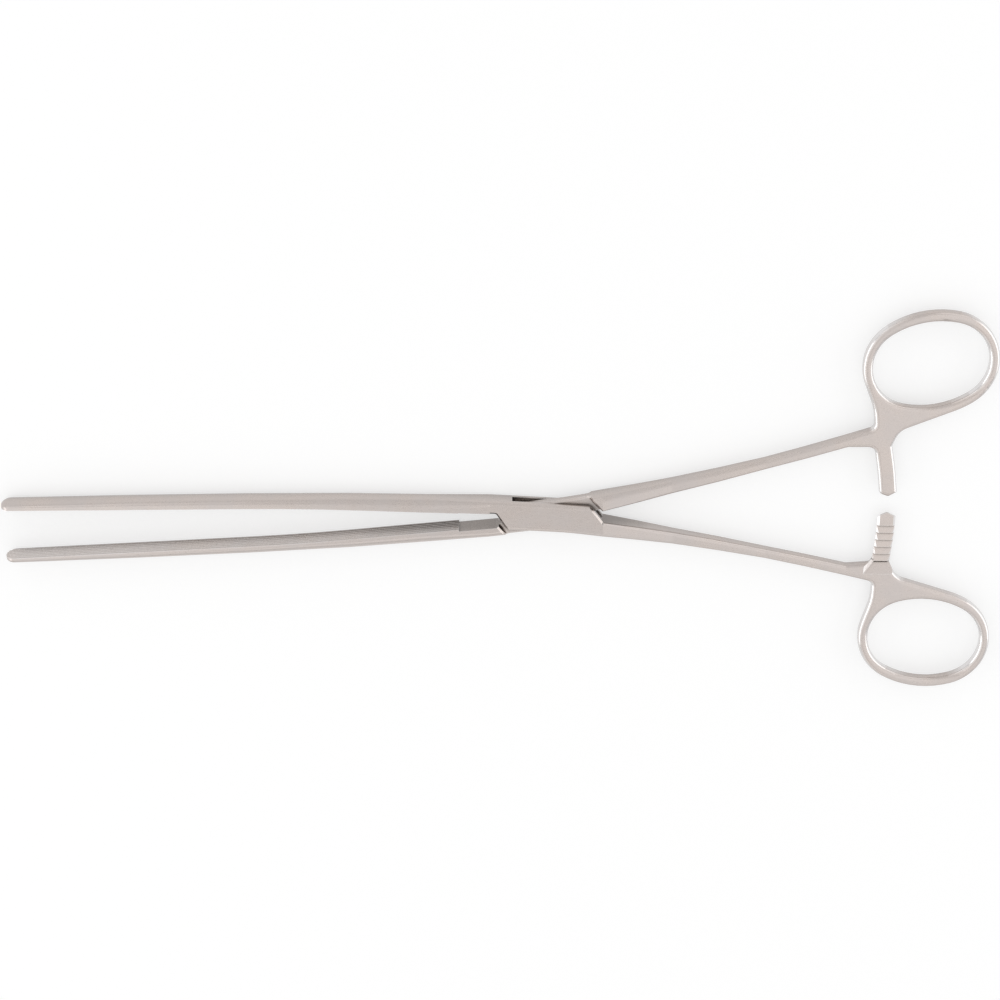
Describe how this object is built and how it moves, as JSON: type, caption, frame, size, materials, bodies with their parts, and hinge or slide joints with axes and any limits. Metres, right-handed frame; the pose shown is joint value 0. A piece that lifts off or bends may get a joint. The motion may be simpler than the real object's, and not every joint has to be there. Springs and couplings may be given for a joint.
{
  "type": "intestinal clamp",
  "caption": "Straight ratchet clamp of satin steel: two long bowed jaws with lengthwise serration, a box lock with a flush pin, slim shanks, finger rings and ratchet arms.",
  "frame": {"origin": "on the pivot axis of the box lock, in the lock's back face", "axes": "+Z along the pivot axis, out of the lock's front face; +X from the lock towards the finger rings; +Y across the clamp, towards the jaw of the half that holds the box"},
  "size_m": [0.2535, 0.1036, 0.0066],
  "materials": {
    "satin_steel": "satin",
    "pin_steel": "satin"
  },
  "bodies": {
    "box": {"box_half": "satin_steel", "pivot_pin": "pin_steel"},
    "inner": {"inner_half": "satin_steel"}
  },
  "joints": [
    {"name": "box_lock_hinge", "type": "hinge", "parent": "box", "child": "inner", "pos_m": [0, 0, 0.0033], "axis": [0, 0, 1], "range_deg": [-5.4, 45]}
  ]
}
